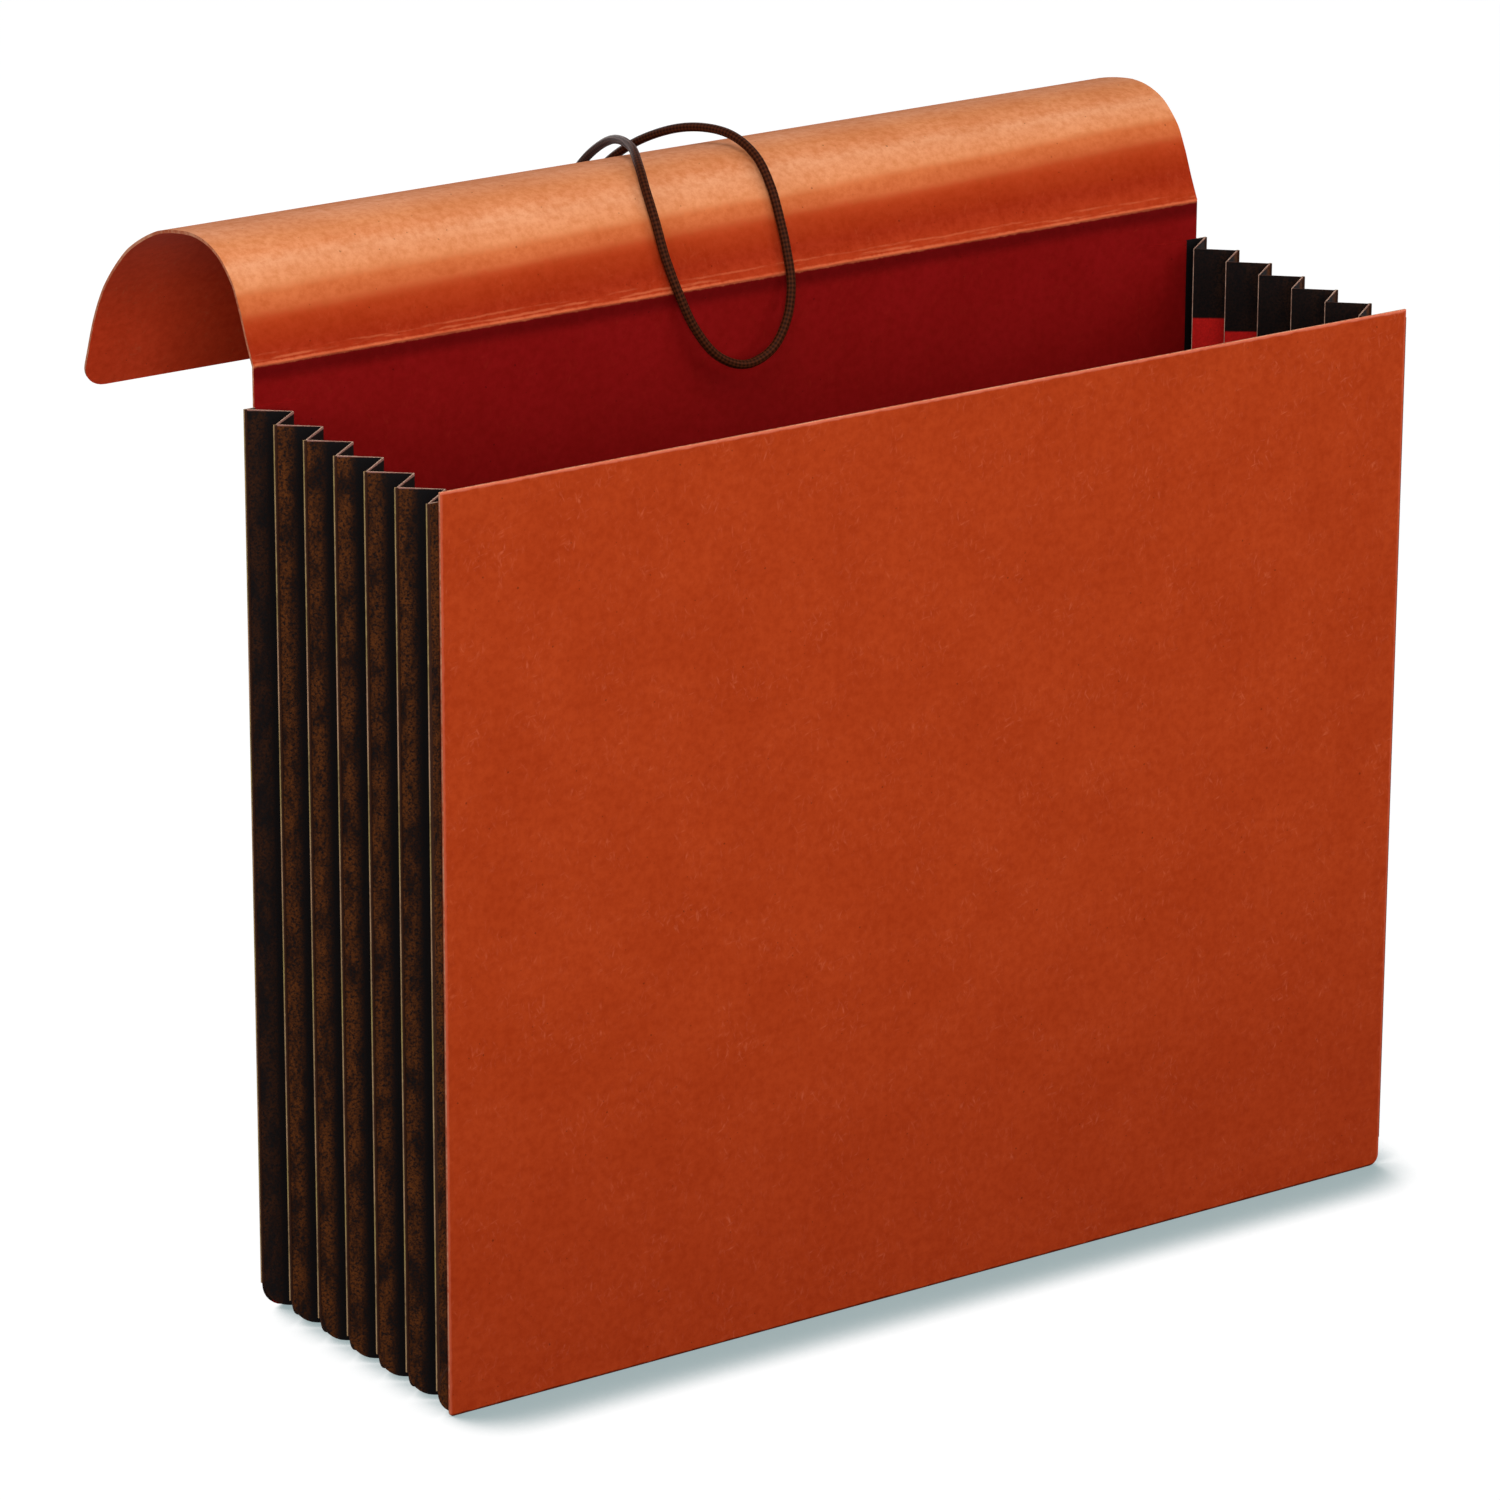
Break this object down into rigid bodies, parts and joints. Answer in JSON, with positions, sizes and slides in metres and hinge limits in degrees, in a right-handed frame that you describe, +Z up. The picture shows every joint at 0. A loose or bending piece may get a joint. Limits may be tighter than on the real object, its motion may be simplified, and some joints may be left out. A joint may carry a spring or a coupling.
{
  "type": "expanding file wallet",
  "caption": "Tall paper document wallet with pleated gussets on its sides and bottom, a long flap curled over the back, and an elastic loop that holds it shut.",
  "frame": {"origin": "middle of the rear panel's bottom edge, on the surface that the wallet stands on", "axes": "+Z up, +X to the right along the panels, +Y to the back, so that the front panel faces -Y"},
  "size_m": [0.305, 0.1754, 0.2862],
  "materials": {
    "panel_paper": "matte fibre paper",
    "gusset_paper": "suede-like dark paper",
    "gusset_fold": "worn fold",
    "eyelet_metal": "dull plated",
    "elastic": "woven cover"
  },
  "bodies": {
    "back": {"rear_panel": "panel_paper", "rear_glue_flange": "gusset_paper"},
    "front": {"front_panel": "panel_paper", "front_glue_flange": "gusset_paper"},
    "crease_1": {"pleat_crease_1": "gusset_fold"},
    "crease_2": {"pleat_crease_2": "gusset_fold"},
    "crease_3": {"pleat_crease_3": "gusset_fold"},
    "crease_4": {"pleat_crease_4": "gusset_fold"},
    "crease_5": {"pleat_crease_5": "gusset_fold"},
    "left_leaf_1a": {"left_leaf_1a": "gusset_paper"},
    "left_leaf_1b": {"left_leaf_1b": "gusset_paper"},
    "left_leaf_2a": {"left_leaf_2a": "gusset_paper"},
    "left_leaf_2b": {"left_leaf_2b": "gusset_paper"},
    "left_leaf_3a": {"left_leaf_3a": "gusset_paper"},
    "left_leaf_3b": {"left_leaf_3b": "gusset_paper"},
    "left_leaf_4a": {"left_leaf_4a": "gusset_paper"},
    "left_leaf_4b": {"left_leaf_4b": "gusset_paper"},
    "left_leaf_5a": {"left_leaf_5a": "gusset_paper"},
    "left_leaf_5b": {"left_leaf_5b": "gusset_paper"},
    "left_leaf_6a": {"left_leaf_6a": "gusset_paper"},
    "left_leaf_6b": {"left_leaf_6b": "gusset_paper"},
    "right_leaf_1a": {"right_leaf_1a": "gusset_paper"},
    "right_leaf_1b": {"right_leaf_1b": "gusset_paper"},
    "right_leaf_2a": {"right_leaf_2a": "gusset_paper"},
    "right_leaf_2b": {"right_leaf_2b": "gusset_paper"},
    "right_leaf_3a": {"right_leaf_3a": "gusset_paper"},
    "right_leaf_3b": {"right_leaf_3b": "gusset_paper"},
    "right_leaf_4a": {"right_leaf_4a": "gusset_paper"},
    "right_leaf_4b": {"right_leaf_4b": "gusset_paper"},
    "right_leaf_5a": {"right_leaf_5a": "gusset_paper"},
    "right_leaf_5b": {"right_leaf_5b": "gusset_paper"},
    "right_leaf_6a": {"right_leaf_6a": "gusset_paper"},
    "right_leaf_6b": {"right_leaf_6b": "gusset_paper"},
    "bottom_leaf_1a": {"bottom_leaf_1a": "gusset_paper"},
    "bottom_leaf_1b": {"bottom_leaf_1b": "gusset_paper"},
    "bottom_leaf_2a": {"bottom_leaf_2a": "gusset_paper"},
    "bottom_leaf_2b": {"bottom_leaf_2b": "gusset_paper"},
    "bottom_leaf_3a": {"bottom_leaf_3a": "gusset_paper"},
    "bottom_leaf_3b": {"bottom_leaf_3b": "gusset_paper"},
    "bottom_leaf_4a": {"bottom_leaf_4a": "gusset_paper"},
    "bottom_leaf_4b": {"bottom_leaf_4b": "gusset_paper"},
    "bottom_leaf_5a": {"bottom_leaf_5a": "gusset_paper"},
    "bottom_leaf_5b": {"bottom_leaf_5b": "gusset_paper"},
    "bottom_leaf_6a": {"bottom_leaf_6a": "gusset_paper"},
    "bottom_leaf_6b": {"bottom_leaf_6b": "gusset_paper"},
    "flap_1": {"flap_strip_1": "panel_paper"},
    "flap_2": {"flap_strip_2": "panel_paper"},
    "flap_3": {"flap_strip_3": "panel_paper"},
    "flap_4": {"flap_strip_4": "panel_paper"},
    "flap_5": {"flap_strip_5": "panel_paper"},
    "flap_6": {"flap_strip_6": "panel_paper"},
    "flap_7": {"flap_strip_7": "panel_paper"},
    "flap_8": {"flap_strip_8": "panel_paper"},
    "flap_9": {"flap_strip_9": "panel_paper", "eyelet": "eyelet_metal", "cord_knot": "elastic"},
    "cord": {"elastic_cord": "elastic"}
  },
  "joints": [
    {"name": "expand", "type": "slide", "parent": "back", "child": "front", "axis": [0, -1, 0], "range_m": [-0.0672, 0]},
    {"name": "spread_1", "type": "slide", "parent": "back", "child": "crease_1", "axis": [0, -1, 0], "range_m": [-0.0122, 0.001]},
    {"name": "spread_2", "type": "slide", "parent": "back", "child": "crease_2", "axis": [0, -1, 0], "range_m": [-0.0234, 0.001]},
    {"name": "spread_3", "type": "slide", "parent": "back", "child": "crease_3", "axis": [0, -1, 0], "range_m": [-0.0346, 0.001]},
    {"name": "spread_4", "type": "slide", "parent": "back", "child": "crease_4", "axis": [0, -1, 0], "range_m": [-0.0458, 0.001]},
    {"name": "spread_5", "type": "slide", "parent": "back", "child": "crease_5", "axis": [0, -1, 0], "range_m": [-0.057, 0.001]},
    {"name": "fold_left_leaf_1a", "type": "hinge", "parent": "back", "child": "left_leaf_1a", "pos_m": [-0.15118, -0.0013, 0], "axis": [0, 0, 1], "range_deg": [-1.5, 36.58]},
    {"name": "fold_left_leaf_1b", "type": "hinge", "parent": "crease_1", "child": "left_leaf_1b", "pos_m": [-0.15118, -0.0145, 0], "axis": [0, 0, 1], "range_deg": [-36.58, 1.5]},
    {"name": "fold_left_leaf_2a", "type": "hinge", "parent": "crease_1", "child": "left_leaf_2a", "pos_m": [-0.15118, -0.0153, 0], "axis": [0, 0, 1], "range_deg": [-1.5, 36.58]},
    {"name": "fold_left_leaf_2b", "type": "hinge", "parent": "crease_2", "child": "left_leaf_2b", "pos_m": [-0.15118, -0.0285, 0], "axis": [0, 0, 1], "range_deg": [-36.58, 1.5]},
    {"name": "fold_left_leaf_3a", "type": "hinge", "parent": "crease_2", "child": "left_leaf_3a", "pos_m": [-0.15118, -0.0293, 0], "axis": [0, 0, 1], "range_deg": [-1.5, 36.58]},
    {"name": "fold_left_leaf_3b", "type": "hinge", "parent": "crease_3", "child": "left_leaf_3b", "pos_m": [-0.15118, -0.0425, 0], "axis": [0, 0, 1], "range_deg": [-36.58, 1.5]},
    {"name": "fold_left_leaf_4a", "type": "hinge", "parent": "crease_3", "child": "left_leaf_4a", "pos_m": [-0.15118, -0.0433, 0], "axis": [0, 0, 1], "range_deg": [-1.5, 36.58]},
    {"name": "fold_left_leaf_4b", "type": "hinge", "parent": "crease_4", "child": "left_leaf_4b", "pos_m": [-0.15118, -0.0565, 0], "axis": [0, 0, 1], "range_deg": [-36.58, 1.5]},
    {"name": "fold_left_leaf_5a", "type": "hinge", "parent": "crease_4", "child": "left_leaf_5a", "pos_m": [-0.15118, -0.0573, 0], "axis": [0, 0, 1], "range_deg": [-1.5, 36.58]},
    {"name": "fold_left_leaf_5b", "type": "hinge", "parent": "crease_5", "child": "left_leaf_5b", "pos_m": [-0.15118, -0.0705, 0], "axis": [0, 0, 1], "range_deg": [-36.58, 1.5]},
    {"name": "fold_left_leaf_6a", "type": "hinge", "parent": "crease_5", "child": "left_leaf_6a", "pos_m": [-0.15118, -0.0713, 0], "axis": [0, 0, 1], "range_deg": [-1.5, 36.58]},
    {"name": "fold_left_leaf_6b", "type": "hinge", "parent": "front", "child": "left_leaf_6b", "pos_m": [-0.15118, -0.0845, 0], "axis": [0, 0, 1], "range_deg": [-36.58, 1.5]},
    {"name": "fold_right_leaf_1a", "type": "hinge", "parent": "back", "child": "right_leaf_1a", "pos_m": [0.15118, -0.0013, 0], "axis": [0, 0, 1], "range_deg": [-36.58, 1.5]},
    {"name": "fold_right_leaf_1b", "type": "hinge", "parent": "crease_1", "child": "right_leaf_1b", "pos_m": [0.15118, -0.0145, 0], "axis": [0, 0, 1], "range_deg": [-1.5, 36.58]},
    {"name": "fold_right_leaf_2a", "type": "hinge", "parent": "crease_1", "child": "right_leaf_2a", "pos_m": [0.15118, -0.0153, 0], "axis": [0, 0, 1], "range_deg": [-36.58, 1.5]},
    {"name": "fold_right_leaf_2b", "type": "hinge", "parent": "crease_2", "child": "right_leaf_2b", "pos_m": [0.15118, -0.0285, 0], "axis": [0, 0, 1], "range_deg": [-1.5, 36.58]},
    {"name": "fold_right_leaf_3a", "type": "hinge", "parent": "crease_2", "child": "right_leaf_3a", "pos_m": [0.15118, -0.0293, 0], "axis": [0, 0, 1], "range_deg": [-36.58, 1.5]},
    {"name": "fold_right_leaf_3b", "type": "hinge", "parent": "crease_3", "child": "right_leaf_3b", "pos_m": [0.15118, -0.0425, 0], "axis": [0, 0, 1], "range_deg": [-1.5, 36.58]},
    {"name": "fold_right_leaf_4a", "type": "hinge", "parent": "crease_3", "child": "right_leaf_4a", "pos_m": [0.15118, -0.0433, 0], "axis": [0, 0, 1], "range_deg": [-36.58, 1.5]},
    {"name": "fold_right_leaf_4b", "type": "hinge", "parent": "crease_4", "child": "right_leaf_4b", "pos_m": [0.15118, -0.0565, 0], "axis": [0, 0, 1], "range_deg": [-1.5, 36.58]},
    {"name": "fold_right_leaf_5a", "type": "hinge", "parent": "crease_4", "child": "right_leaf_5a", "pos_m": [0.15118, -0.0573, 0], "axis": [0, 0, 1], "range_deg": [-36.58, 1.5]},
    {"name": "fold_right_leaf_5b", "type": "hinge", "parent": "crease_5", "child": "right_leaf_5b", "pos_m": [0.15118, -0.0705, 0], "axis": [0, 0, 1], "range_deg": [-1.5, 36.58]},
    {"name": "fold_right_leaf_6a", "type": "hinge", "parent": "crease_5", "child": "right_leaf_6a", "pos_m": [0.15118, -0.0713, 0], "axis": [0, 0, 1], "range_deg": [-36.58, 1.5]},
    {"name": "fold_right_leaf_6b", "type": "hinge", "parent": "front", "child": "right_leaf_6b", "pos_m": [0.15118, -0.0845, 0], "axis": [0, 0, 1], "range_deg": [-1.5, 36.58]},
    {"name": "fold_bottom_leaf_1a", "type": "hinge", "parent": "back", "child": "bottom_leaf_1a", "pos_m": [0, -0.0013, 0.00135], "axis": [1, 0, 0], "range_deg": [-36.58, 1.5]},
    {"name": "fold_bottom_leaf_1b", "type": "hinge", "parent": "crease_1", "child": "bottom_leaf_1b", "pos_m": [0, -0.0145, 0.00135], "axis": [1, 0, 0], "range_deg": [-1.5, 36.58]},
    {"name": "fold_bottom_leaf_2a", "type": "hinge", "parent": "crease_1", "child": "bottom_leaf_2a", "pos_m": [0, -0.0153, 0.00135], "axis": [1, 0, 0], "range_deg": [-36.58, 1.5]},
    {"name": "fold_bottom_leaf_2b", "type": "hinge", "parent": "crease_2", "child": "bottom_leaf_2b", "pos_m": [0, -0.0285, 0.00135], "axis": [1, 0, 0], "range_deg": [-1.5, 36.58]},
    {"name": "fold_bottom_leaf_3a", "type": "hinge", "parent": "crease_2", "child": "bottom_leaf_3a", "pos_m": [0, -0.0293, 0.00135], "axis": [1, 0, 0], "range_deg": [-36.58, 1.5]},
    {"name": "fold_bottom_leaf_3b", "type": "hinge", "parent": "crease_3", "child": "bottom_leaf_3b", "pos_m": [0, -0.0425, 0.00135], "axis": [1, 0, 0], "range_deg": [-1.5, 36.58]},
    {"name": "fold_bottom_leaf_4a", "type": "hinge", "parent": "crease_3", "child": "bottom_leaf_4a", "pos_m": [0, -0.0433, 0.00135], "axis": [1, 0, 0], "range_deg": [-36.58, 1.5]},
    {"name": "fold_bottom_leaf_4b", "type": "hinge", "parent": "crease_4", "child": "bottom_leaf_4b", "pos_m": [0, -0.0565, 0.00135], "axis": [1, 0, 0], "range_deg": [-1.5, 36.58]},
    {"name": "fold_bottom_leaf_5a", "type": "hinge", "parent": "crease_4", "child": "bottom_leaf_5a", "pos_m": [0, -0.0573, 0.00135], "axis": [1, 0, 0], "range_deg": [-36.58, 1.5]},
    {"name": "fold_bottom_leaf_5b", "type": "hinge", "parent": "crease_5", "child": "bottom_leaf_5b", "pos_m": [0, -0.0705, 0.00135], "axis": [1, 0, 0], "range_deg": [-1.5, 36.58]},
    {"name": "fold_bottom_leaf_6a", "type": "hinge", "parent": "crease_5", "child": "bottom_leaf_6a", "pos_m": [0, -0.0713, 0.00135], "axis": [1, 0, 0], "range_deg": [-36.58, 1.5]},
    {"name": "fold_bottom_leaf_6b", "type": "hinge", "parent": "front", "child": "bottom_leaf_6b", "pos_m": [0, -0.0845, 0.00135], "axis": [1, 0, 0], "range_deg": [-1.5, 36.58]},
    {"name": "flap", "type": "hinge", "parent": "back", "child": "flap_1", "pos_m": [0, 0, 0.253], "axis": [1, 0, 0], "range_deg": [0, 118], "deforming": ["elastic_cord"]},
    {"name": "flap_bend_2", "type": "hinge", "parent": "flap_1", "child": "flap_2", "pos_m": [0, 0.00651, 0.26762], "axis": [1, 0, 0], "range_deg": [0, 16.5]},
    {"name": "flap_bend_3", "type": "hinge", "parent": "flap_2", "child": "flap_3", "pos_m": [0, 0.01462, 0.27712], "axis": [1, 0, 0], "range_deg": [0, 33]},
    {"name": "flap_bend_4", "type": "hinge", "parent": "flap_3", "child": "flap_4", "pos_m": [0, 0.02661, 0.28067], "axis": [1, 0, 0], "range_deg": [0, 23.5]},
    {"name": "flap_bend_5", "type": "hinge", "parent": "flap_4", "child": "flap_5", "pos_m": [0, 0.04064, 0.27895], "axis": [1, 0, 0], "range_deg": [0, 14]},
    {"name": "flap_bend_6", "type": "hinge", "parent": "flap_5", "child": "flap_6", "pos_m": [0, 0.05384, 0.27388], "axis": [1, 0, 0], "range_deg": [0, 14]},
    {"name": "flap_bend_7", "type": "hinge", "parent": "flap_6", "child": "flap_7", "pos_m": [0, 0.06542, 0.26577], "axis": [1, 0, 0], "range_deg": [0, 38]},
    {"name": "flap_bend_8", "type": "hinge", "parent": "flap_7", "child": "flap_8", "pos_m": [0, 0.07469, 0.2551], "axis": [1, 0, 0], "range_deg": [0, 44]},
    {"name": "flap_bend_9", "type": "hinge", "parent": "flap_8", "child": "flap_9", "pos_m": [0, 0.08111, 0.24251], "axis": [1, 0, 0], "range_deg": [0, 35]},
    {"name": "cord_swing", "type": "hinge", "parent": "flap_9", "child": "cord", "pos_m": [0, 0.0835, 0.23593], "axis": [0, 0.9397, 0.342], "range_deg": [-2, 182]}
  ],
  "couplings": [
    {"joint": "spread_1", "follows": "expand", "ratio": 0.16667},
    {"joint": "spread_2", "follows": "expand", "ratio": 0.33333},
    {"joint": "spread_3", "follows": "expand", "ratio": 0.5},
    {"joint": "spread_4", "follows": "expand", "ratio": 0.66667},
    {"joint": "spread_5", "follows": "expand", "ratio": 0.83333},
    {"joint": "fold_left_leaf_1a", "follows": "expand", "rad_per_m": -9.1113},
    {"joint": "fold_left_leaf_1b", "follows": "expand", "rad_per_m": 9.1113},
    {"joint": "fold_left_leaf_2a", "follows": "expand", "rad_per_m": -9.1113},
    {"joint": "fold_left_leaf_2b", "follows": "expand", "rad_per_m": 9.1113},
    {"joint": "fold_left_leaf_3a", "follows": "expand", "rad_per_m": -9.1113},
    {"joint": "fold_left_leaf_3b", "follows": "expand", "rad_per_m": 9.1113},
    {"joint": "fold_left_leaf_4a", "follows": "expand", "rad_per_m": -9.1113},
    {"joint": "fold_left_leaf_4b", "follows": "expand", "rad_per_m": 9.1113},
    {"joint": "fold_left_leaf_5a", "follows": "expand", "rad_per_m": -9.1113},
    {"joint": "fold_left_leaf_5b", "follows": "expand", "rad_per_m": 9.1113},
    {"joint": "fold_left_leaf_6a", "follows": "expand", "rad_per_m": -9.1113},
    {"joint": "fold_left_leaf_6b", "follows": "expand", "rad_per_m": 9.1113},
    {"joint": "fold_right_leaf_1a", "follows": "expand", "rad_per_m": 9.1113},
    {"joint": "fold_right_leaf_1b", "follows": "expand", "rad_per_m": -9.1113},
    {"joint": "fold_right_leaf_2a", "follows": "expand", "rad_per_m": 9.1113},
    {"joint": "fold_right_leaf_2b", "follows": "expand", "rad_per_m": -9.1113},
    {"joint": "fold_right_leaf_3a", "follows": "expand", "rad_per_m": 9.1113},
    {"joint": "fold_right_leaf_3b", "follows": "expand", "rad_per_m": -9.1113},
    {"joint": "fold_right_leaf_4a", "follows": "expand", "rad_per_m": 9.1113},
    {"joint": "fold_right_leaf_4b", "follows": "expand", "rad_per_m": -9.1113},
    {"joint": "fold_right_leaf_5a", "follows": "expand", "rad_per_m": 9.1113},
    {"joint": "fold_right_leaf_5b", "follows": "expand", "rad_per_m": -9.1113},
    {"joint": "fold_right_leaf_6a", "follows": "expand", "rad_per_m": 9.1113},
    {"joint": "fold_right_leaf_6b", "follows": "expand", "rad_per_m": -9.1113},
    {"joint": "fold_bottom_leaf_1a", "follows": "expand", "rad_per_m": 9.1113},
    {"joint": "fold_bottom_leaf_1b", "follows": "expand", "rad_per_m": -9.1113},
    {"joint": "fold_bottom_leaf_2a", "follows": "expand", "rad_per_m": 9.1113},
    {"joint": "fold_bottom_leaf_2b", "follows": "expand", "rad_per_m": -9.1113},
    {"joint": "fold_bottom_leaf_3a", "follows": "expand", "rad_per_m": 9.1113},
    {"joint": "fold_bottom_leaf_3b", "follows": "expand", "rad_per_m": -9.1113},
    {"joint": "fold_bottom_leaf_4a", "follows": "expand", "rad_per_m": 9.1113},
    {"joint": "fold_bottom_leaf_4b", "follows": "expand", "rad_per_m": -9.1113},
    {"joint": "fold_bottom_leaf_5a", "follows": "expand", "rad_per_m": 9.1113},
    {"joint": "fold_bottom_leaf_5b", "follows": "expand", "rad_per_m": -9.1113},
    {"joint": "fold_bottom_leaf_6a", "follows": "expand", "rad_per_m": 9.1113},
    {"joint": "fold_bottom_leaf_6b", "follows": "expand", "rad_per_m": -9.1113},
    {"joint": "cord_swing", "follows": "flap", "ratio": 1.5254}
  ]
}
